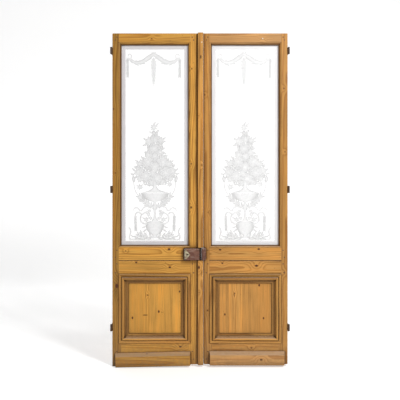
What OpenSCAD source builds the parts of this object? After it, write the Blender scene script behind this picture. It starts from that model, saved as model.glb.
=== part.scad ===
// A pair of tall pine doors with etched glass over a panel, hung on lift-off hinges and held
// shut by an iron rim latch. Millimetres. X runs along the pair, the front faces -Y, Z is up.
// The pieces are drawn in one leaf's own terms: u is the distance from the centre line of the
// pair, d the depth behind the front face, z the height above the straight part of the foot.

/* [Pair of doors] */
// Height of each leaf
leaf_h = 2190; // [1800:1:2700]
// Thickness of each leaf
leaf_t = 38; // [36:0.1:50]
// Distance from the centre line to each hinge edge
hinge_edge = 580; // [420:1:760]
// How much lower the left leaf's hinge corner was cut, to follow a sloping sill
foot_drop = 14; // [0:1:30]

/* [Stiles and rails] */
// Width of the hinge stiles
hinge_stile_w = 58; // [50:1:90]
// Distance from the centre line to the inner edge of each meeting stile
meeting_sight = 79; // [70:1:110]
// How far the left meeting stile passes the centre line
left_meet = 7; // [2:0.5:10]
// Height of the top rail
top_rail_h = 74; // [60:1:120]
// Height of the upper of the two middle rails
upper_mid_h = 102; // [95:1:140]
// Height of the lower of the two middle rails
lower_mid_h = 105; // [70:1:140]
// Height of the bottom rail
bottom_rail_h = 155; // [130:1:260]
// Height of the panel opening
panel_h = 426; // [250:1:700]
// Chamfer along the joint between the two middle rails
seam_chamfer = 3; // [1:0.5:5]

/* [Joints in the wood] */
// Thickness of the through tenons
tenon_t = 12; // [8:1:14]
// Play between a tenon and its mortise
tenon_play = 0.2; // [0.1:0.1:0.5]
// Wood left beside a tenon at a rail's edge
tenon_shoulder = 12; // [8:1:16]
// Diameter of the pegs that pin the tenons
peg_d = 8; // [5:0.5:10]
// Radial play of a peg in its hole
peg_play = 0.05; // [0.02:0.01:0.1]
// Distance of each peg from its tenon's edge
peg_margin = 10; // [7:1:12]

/* [Glass] */
// Width of the ovolo worked round the glass
ovolo_w = 16; // [12:1:20]
// Depth of the ovolo worked round the glass
ovolo_d = 9; // [6:1:12]
// Width of the rebate behind the sight line
rebate_w = 10; // [8:1:14]
// Depth of the rebate's face behind the front
rebate_d = 20; // [16:1:22]
// Thickness of the glass
glass_t = 4; // [3:0.5:6]
// Gap between the glass and the rebate
glass_play = 2; // [1:0.5:3]

/* [Panel and moulding] */
// Thickness of the panel
panel_t = 14; // [10:1:16]
// Depth of the panel's face behind the front
panel_d = 12; // [8:1:13]
// How far the panel is housed in the frame
tongue = 10; // [6:1:12]
// Room left for the panel to swell
swell = 1.5; // [0.5:0.5:3]
// Width of the panel moulding
moulding_w = 62; // [54:1:80]
// How far the panel moulding laps over the frame
moulding_lap = 16; // [12:1:20]
// Radius of the moulding's round
torus_r = 9.5; // [7:0.5:11]

/* [Kickboard] */
// Height of the kickboard
kick_h = 88; // [60:1:120]
// How far the kickboard stands proud
kick_proud = 28; // [27:1:40]
// Fall of the kickboard's sloping top
kick_fall = 18; // [8:1:26]
// Distance from the hinge edge to the kickboard's end
kick_end = 20; // [8:1:40]

/* [Meeting strip] */
// How far the strip passes the centre line
strip_out = 22; // [16:0.5:24]
// How far the strip laps over the left leaf
strip_lap = 14.5; // [8:0.5:24]
// How far the strip stands proud
strip_proud = 20; // [12:1:24]
// Gap between the strip and the right leaf
seam = 0.5; // [0.5:0.5:5]
// How far the meeting edges slope back, so that they clear as the leaves swing
back_slope = 2; // [2:0.5:4]
// Room left above and below the latch where the strip is cut away
strip_gap = 3; // [2:0.5:8]

/* [Hinges] */
// Length of each hinge
hinge_h = 48; // [40:1:70]
// Distance from a leaf's top to its top hinge's middle
hinge_top = 114; // [80:1:250]
// Height of the middle hinge
hinge_mid = 1157; // [850:1:1250]
// Height of the bottom hinge
hinge_low = 242; // [150:1:400]
// Radius of the knuckle
knuckle_r = 7; // [6.5:0.5:8]
// Radius of the hinge pin
pin_r = 4; // [3:0.25:4.5]
// Radial play of the pin in its bore
pin_play = 0.05; // [0.02:0.01:0.1]
// Thickness of each hinge plate
plate_t = 2.5; // [2:0.1:3]
// Gap between the two plates when shut
plate_gap = 2; // [1.5:0.5:3]
// Radius of the hinge screws' shanks
screw_r = 2.1; // [1.5:0.1:2.5]
// Distance between screws in a plate
screw_pitch = 16; // [12:1:20]

/* [Latch] */
// Height of the latch's lower edge
latch_z = 691.5; // [650:0.5:700]
// Height of the latch case
latch_h = 75.5; // [70:0.5:92]
// Length of the latch case
latch_w = 103; // [98:1:120]
// How far the latch case stands proud
latch_proud = 25; // [22:1:26]
// Distance from the centre line to the case's near edge
latch_edge = 4; // [3:0.5:10]
// Thickness of the case's sheet
sheet = 1.8; // [1.5:0.1:2.5]
// Side of the square socket for the spindle
socket = 7; // [6:0.5:8]
// Travel of the latch bolt
throw = 14; // [10:1:14]
// Height of the latch bolt
bolt_h = 17; // [12:1:20]
// Thickness of the latch bolt
bolt_t = 11; // [8:1:12]
// Play round the bolt where it slides
bolt_play = 0.5; // [0.3:0.1:1]

/* [Keep] */
// Distance from the centre line to the keep's mouth
keep_edge = 7.5; // [7:0.5:12]
// Width of the keep
keep_w = 30; // [28:1:40]
// Height of the keep
keep_h = 77.5; // [70:0.5:90]
// Thickness of the keep's metal
keep_t = 2; // [1.5:0.1:2.5]

/* [Hidden] */
SIDES = ["left", "right"];
LENGTHS = ["top", "bottom", "inner", "outer"];
HINGES = ["top", "middle", "bottom"];
RAILS = ["top_rail", "upper_mid_rail", "lower_mid_rail", "bottom_rail"];
$fn = 48;
cut = 1; // how far a cutter runs past what it cuts

// Where the front faces lie, so that the whole pair is centred on Y
face_y = (kick_proud - leaf_t) / 2;
right_meet = strip_out + seam;

// Inner edges of the openings and the rails' shoulders
in_u = meeting_sight;
out_u = hinge_edge - hinge_stile_w;
in_shoulder = in_u - ovolo_w;
out_shoulder = out_u + ovolo_w;

// Heights of the rails' edges
panel_z = bottom_rail_h;
lower_z = panel_z + panel_h;
mid_z = lower_z + lower_mid_h;
glass_z = mid_z + upper_mid_h;
top_z = leaf_h - top_rail_h;

// The lower and upper edge of each rail's tenon
tenon_d = (leaf_t - tenon_t) / 2;
TENONS = [
    [top_z + ovolo_w + 4, leaf_h - tenon_shoulder - 3],
    [mid_z + tenon_shoulder, glass_z - ovolo_w - 8],
    [lower_z + tongue + 4, mid_z - tenon_shoulder],
    [tenon_shoulder * 2, kick_h + 6]
];
// Pegs stand staggered: distances from the shoulder of the upper and of the lower one
peg_near = 12;
peg_far = 21;

// Hinges
HINGE_Z = [leaf_h - hinge_top, hinge_mid, hinge_low];
plate_in = hinge_edge - 1.5; // the leaf's plate is let in this far
jamb_u = plate_in + 2 * plate_t + plate_gap;
axis_u = jamb_u + 2;
axis_d = -1;
plate_back = leaf_t - 6.5;
leaf_plate_d = knuckle_r - 3.5;
frame_plate_d = axis_d + knuckle_r + 0.3;
knuckle_gap = 0.4;
knuckle_taper = 4;
pin_len = hinge_h / 2 - 3;
hinge_screw_len = 25;
head_h = 1.8;
head_r = screw_r + 1.5;
screw_play = 0.05;
jamb_screw_play = 0.4; // around the screws that go into a door frame

// Latch
latch_top = latch_z + latch_h;
latch_far = latch_edge + latch_w;
bolt_z = latch_z + latch_h / 2 + 0.75;
bolt_d = -latch_proud / 2 - 1; // middle of the bolt's thickness
nose = 6; // how far the drawn bolt still stands out of the case
nose_u = latch_edge - nose;
bolt_rear = nose_u + 74;
hub_u = latch_edge + 78;
hub_z = bolt_z - 2;
hub_r = 9;
journal_r = 4.95;
journal_play = 0.05;
arm_half = 25; // degrees that the arm leans either way
arm_r = throw / 2 / sin(arm_half);
arm_w = 4;
arm_end_r = 3;
arm_t = 8;
tail_z = hub_z - arm_r * cos(arm_half) - 11;
tail_h = 12.5;
spring_r = 4;
spring_wire = 0.7;
spring_z = bolt_z + 16;
lug_h = 26;
lug_w = 6;
latch_screw_in = 12; // how deep the latch and keep screws go into the wood
LATCH_SCREWS = [
    [latch_far - 9.5, latch_top - 10],
    [latch_far - 9.5, latch_z + 6.5],
    [latch_edge + 8, latch_top - 10],
    [latch_edge + 8, latch_z + 10]
];
plate_rise = 1.5; // thickness of the spindle plate

// Keep
keep_z = latch_z;
keep_top = keep_z + keep_h;
keep_lip = 1.5; // thickness of the raised band along the keep's mouth
keep_band = 12;
mouth_play = 3.5;
KEEP_SCREWS = [[keep_edge + 22, keep_z + 9.5], [keep_edge + 22, keep_top - 9.5]];

// Colours
pine = [0.78, 0.56, 0.30];
pale_pine = [0.82, 0.61, 0.36];
dark_pine = [0.66, 0.45, 0.25];
rust = [0.42, 0.25, 0.19];
iron = [0.29, 0.24, 0.20];
steel = [0.55, 0.53, 0.50];
worn_brass = [0.68, 0.62, 0.48];
frosted = [0.88, 0.89, 0.92, 0.6];

function meet(s) = s == "left" ? -left_meet : right_meet;
function drop(s) = s == "left" ? foot_drop : 0;
function foot(u, s) = -drop(s) * (u - meet(s)) / (hinge_edge - meet(s));
function wood(s) = s == "left" ? pine : pale_pine;
function arc(cx, cy, r, a0, a1, n) =
    [for (i = [0:n]) let (a = a0 + (a1 - a0) * i / n) [cx + r * cos(a), cy + r * sin(a)]];
function reversed(v) = [for (i = [len(v) - 1:-1:0]) v[i]];

// Puts a leaf's pieces in place: the left leaf is the mirror image of the right
module leaf(s)
    translate([0, face_y, foot_drop])
        mirror([s == "left" ? 1 : 0, 0, 0])
            children();

// An outline in u and z, from depth d0 to depth d1
module slab(outline, d0, d1)
    translate([0, d1, 0])
        rotate([90, 0, 0])
            linear_extrude(d1 - d0)
                polygon(outline);

// An outline in u and d, from height z0 to height z1
module post(outline, z0, z1)
    translate([0, 0, z0])
        linear_extrude(z1 - z0)
            polygon(outline);

// An outline in z and d, from u0 to u1
module bar(outline, u0, u1)
    translate([u1, 0, 0])
        rotate([0, -90, 0])
            linear_extrude(u1 - u0)
                polygon(outline);

module block(u0, u1, d0, d1, z0, z1)
    translate([u0, d0, z0])
        cube([u1 - u0, d1 - d0, z1 - z0]);

// One of four mitred lengths round a rectangle. The section gives each point's distance from
// the rectangle's edge, and its depth.
module mitred(which, rect, w, section) {
    u0 = rect[0];
    u1 = rect[1];
    z0 = rect[2];
    z1 = rect[3];
    ends = [for (p = section) p.y];
    d0 = min(ends) - cut;
    d1 = max(ends) + cut;
    intersection() {
        if (which == "top")
            translate([0, 0, z1])
                mirror([0, 0, 1])
                    bar(section, u0, u1);
        if (which == "bottom")
            translate([0, 0, z0])
                bar(section, u0, u1);
        if (which == "inner")
            translate([u0, 0, 0])
                post(section, z0, z1);
        if (which == "outer")
            translate([u1, 0, 0])
                mirror([1, 0, 0])
                    post(section, z0, z1);
        if (which == "top")
            slab([[u0, z1], [u1, z1], [u1 - w, z1 - w], [u0 + w, z1 - w]], d0, d1);
        if (which == "bottom")
            slab([[u0, z0], [u1, z0], [u1 - w, z0 + w], [u0 + w, z0 + w]], d0, d1);
        if (which == "inner")
            slab([[u0, z0], [u0, z1], [u0 + w, z1 - w], [u0 + w, z0 + w]], d0, d1);
        if (which == "outer")
            slab([[u1, z0], [u1, z1], [u1 - w, z1 - w], [u1 - w, z0 + w]], d0, d1);
    }
}

// A countersunk wood screw pointing down from its head's face, or the hole for one
module wood_screw(long, play = 0) {
    tip = 5;
    difference() {
        union() {
            translate([0, 0, -head_h])
                cylinder(h = head_h, r1 = screw_r + play, r2 = head_r + play);
            translate([0, 0, tip - long])
                cylinder(h = long - tip - head_h, r = screw_r + play);
            translate([0, 0, -long - play])
                cylinder(h = tip + play, r1 = 0.5 + play, r2 = screw_r + play);
        }
        if (play == 0)
            translate([-head_r - cut, -0.4, -0.8])
                cube([2 * head_r + 2 * cut, 0.8, 2]);
    }
}

// ---- the frame of a leaf ----

// How far the ovolo opens at each depth: a step, a quarter round and a small flat
function ovolo() = concat(
    [[ovolo_w, -cut], [ovolo_w, 1.2]],
    [for (p = arc(ovolo_w - 1, ovolo_d, ovolo_d - 1.2, 270, 180, 6)) [p.x - 1, p.y]],
    [[1.2, ovolo_d], [0, ovolo_d], [0, leaf_t + cut]]
);

module glass_opening() {
    o = ovolo();
    sides = concat([for (p = o) [in_u - p.x, p.y]], [for (p = reversed(o)) [out_u + p.x, p.y]]);
    ends = concat([for (p = o) [glass_z - p.x, p.y]], [for (p = reversed(o)) [top_z + p.x, p.y]]);
    intersection() {
        post(sides, glass_z - ovolo_w - cut, top_z + ovolo_w + cut);
        bar(ends, in_u - ovolo_w - cut, out_u + ovolo_w + cut);
    }
    block(in_u - rebate_w, out_u + rebate_w, rebate_d, leaf_t + cut, glass_z - rebate_w, top_z + rebate_w);
}

module panel_groove()
    block(in_u - tongue, out_u + tongue, panel_d, panel_d + panel_t, panel_z - tongue, lower_z + tongue);

// The bar of wood that forms a rail's two tenons, or the mortises for them
module tenon_bar(s, t, play = 0)
    block(meet(s) - (play > 0 ? cut : 0), hinge_edge + (play > 0 ? cut : 0),
        tenon_d - play, tenon_d + tenon_t + play, t[0] - play, t[1] + play);

module mortises(s)
    for (t = TENONS)
        tenon_bar(s, t, tenon_play);

// Pegs through both cheeks and the tenon, two at each end of each rail
module pegs(play = 0)
    for (t = TENONS)
        for (end = [[in_shoulder, -1], [out_shoulder, 1]])
            for (p = [[peg_near, t[1] - peg_margin], [peg_far, t[0] + peg_margin]])
                translate([end[0] + end[1] * p[0], leaf_t + (play > 0 ? cut : 0), p[1]])
                    rotate([90, 0, 0])
                        cylinder(h = leaf_t + (play > 0 ? 2 * cut : 0), d = peg_d + 2 * play);

function stile_outline(s, edge, sight, shoulder) = [
    [edge, foot(edge, s)],
    [edge, leaf_h],
    [shoulder, leaf_h],
    [shoulder, top_z + ovolo_w],
    [sight, top_z],
    [sight, glass_z],
    [shoulder, glass_z - ovolo_w],
    [shoulder, lower_z],
    [sight, lower_z],
    [sight, foot(sight, s)]
];

module hinge_stile(s) color(wood(s)) leaf(s)
    difference() {
        slab(stile_outline(s, hinge_edge, out_u, out_shoulder), 0, leaf_t);
        glass_opening();
        panel_groove();
        mortises(s);
        pegs(peg_play);
        for (z = HINGE_Z) {
            block(plate_in, hinge_edge + cut, -cut, plate_back, z - hinge_h / 2, z + hinge_h / 2);
            hinge_screw_set(z, screw_play);
        }
    }

module meeting_stile(s) color(wood(s)) leaf(s)
    difference() {
        slab(stile_outline(s, meet(s), in_u, in_shoulder), 0, leaf_t);
        sloping_edge(s);
        glass_opening();
        panel_groove();
        mortises(s);
        pegs(peg_play);
        if (s == "left")
            latch_screw_set(screw_play);
        if (s == "right") {
            keep_screw_set(screw_play);
            foot_chip();
        }
    }

// What the plane took off a leaf's meeting edge
module sloping_edge(s) {
    edge = meet(s);
    post([[edge, 0], [edge + back_slope, leaf_t], [edge + back_slope, leaf_t + cut],
        [edge - cut, leaf_t + cut], [edge - cut, 0]], -cut, leaf_h + cut);
}

// A splinter lost from the foot of the right meeting stile
module foot_chip() {
    chip_w = 6;
    chip_h = 46;
    slab([[right_meet - cut, -cut], [right_meet + chip_w, -cut], [right_meet - cut, chip_h]],
        -cut, leaf_t / 3);
}

module rail(s, outline, t) color(wood(s)) leaf(s)
    difference() {
        union() {
            slab(outline, 0, leaf_t);
            tenon_bar(s, t);
        }
        glass_opening();
        panel_groove();
        pegs(peg_play);
        mid_seam();
        sloping_edge(s);
        if (s == "left") {
            latch_screw_set(screw_play);
            spindle_hole();
        }
    }

// The groove along the joint of the middle rails
module mid_seam()
    bar([[mid_z - seam_chamfer, 0], [mid_z - seam_chamfer - cut, -cut],
        [mid_z + seam_chamfer + cut, -cut], [mid_z + seam_chamfer, 0], [mid_z, seam_chamfer]],
        in_shoulder - cut, out_shoulder + cut);

module top_rail(s)
    rail(s, [[in_shoulder, top_z + ovolo_w], [in_u, top_z], [out_u, top_z],
        [out_shoulder, top_z + ovolo_w], [out_shoulder, leaf_h], [in_shoulder, leaf_h]], TENONS[0]);

module upper_mid_rail(s)
    rail(s, [[in_shoulder, mid_z], [out_shoulder, mid_z], [out_shoulder, glass_z - ovolo_w],
        [out_u, glass_z], [in_u, glass_z], [in_shoulder, glass_z - ovolo_w]], TENONS[1]);

module lower_mid_rail(s)
    rail(s, [[in_shoulder, lower_z], [out_shoulder, lower_z],
        [out_shoulder, mid_z], [in_shoulder, mid_z]], TENONS[2]);

module bottom_rail(s)
    rail(s, [[in_u, foot(in_u, s)], [out_u, foot(out_u, s)], [out_u, panel_z], [in_u, panel_z]], TENONS[3]);

module joint_pegs(s) color(dark_pine) leaf(s) pegs();

// ---- glass, panel and mouldings ----

module glass(s) color(frosted) leaf(s)
    block(in_u - rebate_w + glass_play, out_u + rebate_w - glass_play, rebate_d, rebate_d + glass_t,
        glass_z - rebate_w + glass_play, top_z + rebate_w - glass_play);

module glazing_bead(s, which) color(wood(s)) leaf(s) {
    front = rebate_d + glass_t;
    deep = leaf_t - front;
    round_r = rebate_w - 3;
    mitred(which, [in_u - rebate_w, out_u + rebate_w, glass_z - rebate_w, top_z + rebate_w], rebate_w,
        concat([[0, front], [rebate_w, front]],
            arc(rebate_w - round_r, front + deep - round_r, round_r, 0, 90, 5), [[0, front + deep]]));
}

module panel(s) color(wood(s)) leaf(s)
    block(in_u - tongue + swell, out_u + tongue - swell, panel_d, panel_d + panel_t,
        panel_z - tongue + swell, lower_z + tongue - swell);

// The moulding's section: a sloping band, a quirk, a round, a hollow and a flat by the panel
function moulding_section() =
    let (
        band = moulding_lap + 2,
        edge_h = 4,
        band_h = 7,
        round_w = band + 1.5 + torus_r,
        round_h = 5,
        hollow_r = 10,
        hollow_w = round_w + torus_r + hollow_r,
        flat_h = round_h - hollow_r
    ) concat(
        [[0, 0], [0, -edge_h], [2, -edge_h - 1.5], [band - 1, -band_h], [band, -band_h + 3]],
        arc(round_w, -round_h, torus_r, 180, 360, 8),
        [for (p = arc(hollow_w, -round_h, hollow_r, 180, 90, 5)) if (p.y > -round_h + 1) p],
        [[hollow_w + 1, -flat_h + 1.5], [moulding_w, -flat_h + 3], [moulding_w, panel_d]],
        [[moulding_lap, panel_d], [moulding_lap, 0]]
    );

module moulding(s, which) color(wood(s)) leaf(s)
    mitred(which, [in_u - moulding_lap, out_u + moulding_lap, panel_z - moulding_lap, lower_z + moulding_lap],
        moulding_w, moulding_section());

// The kickboard has a sloping top and bevelled ends, and on the left leaf it follows the foot
module kickboard(s) color(wood(s)) leaf(s) {
    u0 = in_shoulder - 2;
    u1 = hinge_edge - kick_end;
    bevel = 5;
    sill = [[kick_h, 0], [kick_h - 1, -3], [kick_h - kick_fall, 2 - kick_proud],
        [kick_h - kick_fall - 3, -kick_proud]];
    lean = atan(drop(s) / (hinge_edge - meet(s)));
    translate([0, 0, foot(u0, s)])
        translate([u0, 0, 0])
            rotate([0, lean, 0])
                translate([-u0, 0, 0])
                    intersection() {
                        bar(concat([[0, 0]], sill, [[0, -kick_proud]]), u0, u1);
                        post([[u0, cut], [u0, 0], [u0 + bevel, -kick_proud], [u0 + bevel, -kick_proud - cut],
                            [u1 - bevel, -kick_proud - cut], [u1 - bevel, -kick_proud], [u1, 0], [u1, cut]],
                            -cut, kick_h + cut);
                    }
}

// ---- the strip on the meeting edge ----

module meeting_strip(z0, z1) color(pale_pine) leaf("left") {
    r = 4;
    post(concat([[strip_lap, 0]],
        arc(strip_lap - r, r - strip_proud, r, 0, -90, 4),
        arc(r - strip_out, r - strip_proud, r, -90, -180, 4),
        [[-strip_out, 0], [back_slope - strip_out, leaf_t],
            [back_slope - left_meet, leaf_t], [-left_meet, 0]]), z0, z1);
}

module meeting_strip_upper()
    meeting_strip(max(latch_top, keep_top) + strip_gap, leaf_h);

module meeting_strip_lower()
    meeting_strip(0, latch_z - strip_gap);

// ---- hinges ----

module hinge_screw_set(z, play = 0)
    for (i = [-1:1])
        translate([plate_in + plate_t, (leaf_plate_d + plate_back) / 2 + 1.5, z + i * screw_pitch])
            rotate([0, 90, 0])
                wood_screw(hinge_screw_len, play);

module hinge_screws(s) color(iron) leaf(s)
    for (z = HINGE_Z)
        hinge_screw_set(z);

// Half of a knuckle, from the gap outwards; dir is 1 for the upper half
module half_knuckle(dir) {
    half = hinge_h / 2;
    mirror([0, 0, dir < 0 ? 1 : 0]) {
        translate([axis_u, axis_d, knuckle_gap / 2])
            cylinder(h = half - knuckle_taper - knuckle_gap / 2, r = knuckle_r);
        translate([axis_u, axis_d, half - knuckle_taper])
            cylinder(h = knuckle_taper, r1 = knuckle_r, r2 = knuckle_r - 2.5);
    }
}

module web(u0, u1, d1, dir) {
    half = hinge_h / 2 - knuckle_taper;
    z0 = dir > 0 ? knuckle_gap / 2 : -half;
    block(u0, u1, axis_d, d1, z0, z0 + half - knuckle_gap / 2);
}

module leaf_half(s, z) color(iron) leaf(s)
    difference() {
        translate([0, 0, z]) {
            half_knuckle(1);
            web(plate_in, axis_u - pin_r, leaf_plate_d + cut, 1);
            block(plate_in, plate_in + plate_t, leaf_plate_d, plate_back, -hinge_h / 2, hinge_h / 2);
        }
        translate([axis_u, axis_d, z - cut])
            cylinder(h = pin_len + cut + 0.5, r = pin_r + pin_play);
        hinge_screw_set(z, screw_play);
    }

module frame_half(s, z) color(iron) leaf(s)
    translate([0, 0, z])
        difference() {
            union() {
                half_knuckle(-1);
                translate([axis_u, axis_d, -knuckle_gap])
                    cylinder(h = pin_len + knuckle_gap, r = pin_r);
                web(jamb_u - plate_t, axis_u, frame_plate_d + cut, -1);
                block(jamb_u - plate_t, jamb_u, frame_plate_d, plate_back, -hinge_h / 2, hinge_h / 2);
            }
            for (i = [-1:1])
                translate([jamb_u - plate_t, (leaf_plate_d + plate_back) / 2 + 1.5, i * screw_pitch])
                    rotate([0, 90, 0]) {
                        translate([0, 0, -cut])
                            cylinder(h = plate_t + 2 * cut, r = screw_r + jamb_screw_play);
                        cylinder(h = head_h, r1 = head_r, r2 = screw_r + jamb_screw_play);
                    }
        }

// ---- the rim latch, on the left leaf ----

module latch_screw_set(play = 0)
    for (i = [0:len(LATCH_SCREWS) - 1])
        translate([LATCH_SCREWS[i].x, -latch_proud - (i < 2 ? plate_rise : 0), LATCH_SCREWS[i].y])
            rotate([90, 0, 0])
                wood_screw(latch_proud + latch_screw_in + (i < 2 ? plate_rise : 0), play);

module latch_screws() color(iron) leaf("left") latch_screw_set();

// Where the spindle's end would sit in the wood
module spindle_hole()
    translate([hub_u, leaf_t / 2 + 2, hub_z])
        rotate([90, 0, 0])
            cylinder(h = leaf_t / 2 + 2 + cut, r = 6);

module latch_case() color(rust) leaf("left")
    difference() {
        block(latch_edge, latch_far, -latch_proud, 0, latch_z, latch_top);
        block(latch_edge + sheet, latch_far - sheet, -latch_proud + sheet, cut,
            latch_z + sheet, latch_top - sheet);
        block(latch_edge - cut, latch_edge + sheet + cut,
            bolt_d - bolt_t / 2 - bolt_play, bolt_d + bolt_t / 2 + bolt_play,
            bolt_z - bolt_h / 2 - bolt_play, bolt_z + bolt_h / 2 + bolt_play);
        translate([hub_u, cut, hub_z])
            rotate([90, 0, 0])
                cylinder(h = latch_proud + 2 * cut, r = journal_r + journal_play);
        latch_screw_set(screw_play);
    }

// A small three-cornered plate with a raised ring round the spindle's hole
module spindle_plate() color(worn_brass) leaf("left") {
    back_u = latch_far - 5.5;
    ring_r = 9;
    difference() {
        union() {
            slab([[back_u, latch_top - 4], [back_u, latch_z + 1.5], [back_u - 3, latch_z + 1.5],
                [back_u - 36, hub_z - 3], [back_u - 36, hub_z + 3], [back_u - 3, latch_top - 4]],
                -latch_proud - plate_rise, -latch_proud);
            translate([hub_u, -latch_proud, hub_z])
                rotate([90, 0, 0])
                    cylinder(h = plate_rise + 0.7, r1 = ring_r, r2 = ring_r - 1);
        }
        translate([hub_u, cut - latch_proud, hub_z])
            rotate([90, 0, 0])
                cylinder(h = 2 * cut + plate_rise + 1, r = journal_r + 0.3);
        latch_screw_set(screw_play);
    }
}

// The bolt: a nose with one sloping side, a lug for the spring, and a tail with a slot
module latch_bolt() color(steel) leaf("left") {
    d0 = bolt_d - bolt_t / 2;
    d1 = bolt_d + bolt_t / 2;
    slot_u = hub_u + throw / 2;
    slot_half = arm_end_r + bolt_play;
    slot_floor = tail_z + 5.5;
    rear = slot_u + slot_half + 2;
    post([[nose_u, d0], [nose_u, d0 + 2], [nose_u + 10, d1], [bolt_rear, d1], [bolt_rear, d0]],
        bolt_z - bolt_h / 2, bolt_z + bolt_h / 2);
    block(bolt_rear - lug_w - 2, bolt_rear - 2, d0, d1, bolt_z, bolt_z + lug_h);
    slab([[bolt_rear, bolt_z], [bolt_rear - 10, bolt_z], [bolt_rear - 10, tail_z], [rear, tail_z],
        [rear, tail_z + tail_h], [slot_u + slot_half, tail_z + tail_h], [slot_u + slot_half, slot_floor],
        [slot_u - slot_half, slot_floor], [slot_u - slot_half, tail_z + tail_h],
        [bolt_rear, tail_z + tail_h]], d0, d1);
}

// The follower that the spindle turns: a hub with a square socket, and an arm in the bolt's slot
module latch_follower() color(steel) leaf("left")
    difference() {
        union() {
            translate([hub_u, -0.5, hub_z])
                rotate([90, 0, 0])
                    cylinder(h = latch_proud - sheet - 1, r = hub_r);
            translate([hub_u, -cut, hub_z])
                rotate([90, 0, 0])
                    cylinder(h = latch_proud - cut, r = journal_r);
            translate([hub_u, bolt_d, hub_z])
                rotate([0, -arm_half, 0]) {
                    translate([-arm_w / 2, -arm_t / 2, -arm_r])
                        cube([arm_w, arm_t, arm_r]);
                    translate([0, arm_t / 2, -arm_r])
                        rotate([90, 0, 0])
                            cylinder(h = arm_t, r = arm_end_r);
                }
        }
        block(hub_u - socket / 2, hub_u + socket / 2, -latch_proud - cut, cut,
            hub_z - socket / 2, hub_z + socket / 2);
    }

// A wire coil along u, from start to stop
module coil(start, stop, turns) {
    sides = 6;
    steps = 12;
    n = turns * steps;
    mid_r = spring_r - spring_wire;
    run = stop - start - 2 * spring_wire;
    points = [
        for (i = [0:n])
            for (j = [0:sides - 1])
                let (a = 360 * i / steps, b = 360 * j / sides, r = mid_r + spring_wire * cos(b))
                    [start + spring_wire + run * i / n + spring_wire * sin(b), r * cos(a), r * sin(a)]
    ];
    walls = [
        for (i = [0:n - 1])
            for (j = [0:sides - 1])
                let (k = (j + 1) % sides)
                    [i * sides + j, i * sides + k, (i + 1) * sides + k, (i + 1) * sides + j]
    ];
    polyhedron(points, concat([[for (j = [sides - 1:-1:0]) j]], walls, [[for (j = [0:sides - 1]) n * sides + j]]));
}

// The spring pushes the bolt out, from the far wall of the case
module latch_spring() color(steel) leaf("left")
    translate([0, bolt_d, spring_z])
        coil(bolt_rear - 2, latch_far - sheet, 7);

// ---- the keep, on the right leaf ----

module keep_screw_set(play = 0)
    for (p = KEEP_SCREWS)
        translate([p.x, -latch_proud, p.y])
            rotate([90, 0, 0])
                wood_screw(latch_proud + latch_screw_in, play);

module keep_screws() color(iron) leaf("right") keep_screw_set();

// A closed box with a mouth for the bolt, and a raised band along the mouth's edge
module keep() color(rust) leaf("right")
    difference() {
        union() {
            block(keep_edge, keep_edge + keep_w, -latch_proud, 0, keep_z, keep_top);
            block(keep_edge, keep_edge + keep_band, -latch_proud - keep_lip, -latch_proud + cut, keep_z, keep_top);
        }
        block(keep_edge + keep_t, keep_edge + keep_w - keep_t, -latch_proud + keep_t, -keep_t,
            keep_z + keep_t, keep_top - keep_t);
        block(keep_edge - cut, keep_edge + keep_t + cut, bolt_d - bolt_t / 2 - mouth_play + 1,
            bolt_d + bolt_t / 2 + mouth_play, bolt_z - bolt_h / 2 - mouth_play, bolt_z + bolt_h / 2 + mouth_play);
        keep_screw_set(screw_play);
    }

// ---- what is drawn ----

for (s = SIDES) {
    hinge_stile(s);
    meeting_stile(s);
    top_rail(s);
    upper_mid_rail(s);
    lower_mid_rail(s);
    bottom_rail(s);
    panel(s);
    glass(s);
    kickboard(s);
    joint_pegs(s);
    hinge_screws(s);
    for (w = LENGTHS) {
        moulding(s, w);
        glazing_bead(s, w);
    }
    for (i = [0:len(HINGES) - 1]) {
        leaf_half(s, HINGE_Z[i]);
        frame_half(s, HINGE_Z[i]);
    }
}
meeting_strip_upper();
meeting_strip_lower();
latch_case();
spindle_plate();
latch_bolt();
latch_follower();
latch_spring();
latch_screws();
keep();
keep_screws();
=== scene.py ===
import math
import random

import bmesh
import bpy
from mathutils import Matrix, Vector


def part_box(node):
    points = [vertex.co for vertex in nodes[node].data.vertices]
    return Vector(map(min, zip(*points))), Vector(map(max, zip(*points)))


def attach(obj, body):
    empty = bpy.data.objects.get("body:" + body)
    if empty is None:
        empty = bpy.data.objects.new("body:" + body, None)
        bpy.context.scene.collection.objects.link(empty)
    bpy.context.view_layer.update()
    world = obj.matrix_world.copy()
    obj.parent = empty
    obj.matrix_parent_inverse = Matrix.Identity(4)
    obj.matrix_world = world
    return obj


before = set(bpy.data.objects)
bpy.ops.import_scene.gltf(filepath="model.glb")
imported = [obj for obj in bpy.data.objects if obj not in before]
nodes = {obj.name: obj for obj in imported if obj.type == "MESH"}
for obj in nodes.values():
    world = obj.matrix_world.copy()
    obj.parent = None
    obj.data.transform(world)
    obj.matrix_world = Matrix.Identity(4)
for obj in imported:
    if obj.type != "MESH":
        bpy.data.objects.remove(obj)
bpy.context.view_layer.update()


# ---------------------------------------------------------------------------------------------
# Stiles and rails: planed pine sticks, mortised and tenoned together, and waxed over a hundred
# years. Their finish is grown in the solid, so the faces, edges and end grain of a stick agree:
# yearly rings round a pith behind the board, knots, and dirt with painted shade in the corners.
# ---------------------------------------------------------------------------------------------
class Signal:
    """A socket in a finish. Arithmetic on it adds Math nodes."""

    def __init__(self, finish, socket):
        self.finish = finish
        self.socket = socket

    def __add__(self, other):
        return self.finish.maths("ADD", self, other)

    __radd__ = __add__

    def __sub__(self, other):
        return self.finish.maths("SUBTRACT", self, other)

    def __rsub__(self, other):
        return self.finish.maths("SUBTRACT", other, self)

    def __mul__(self, other):
        return self.finish.maths("MULTIPLY", self, other)

    __rmul__ = __mul__


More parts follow.
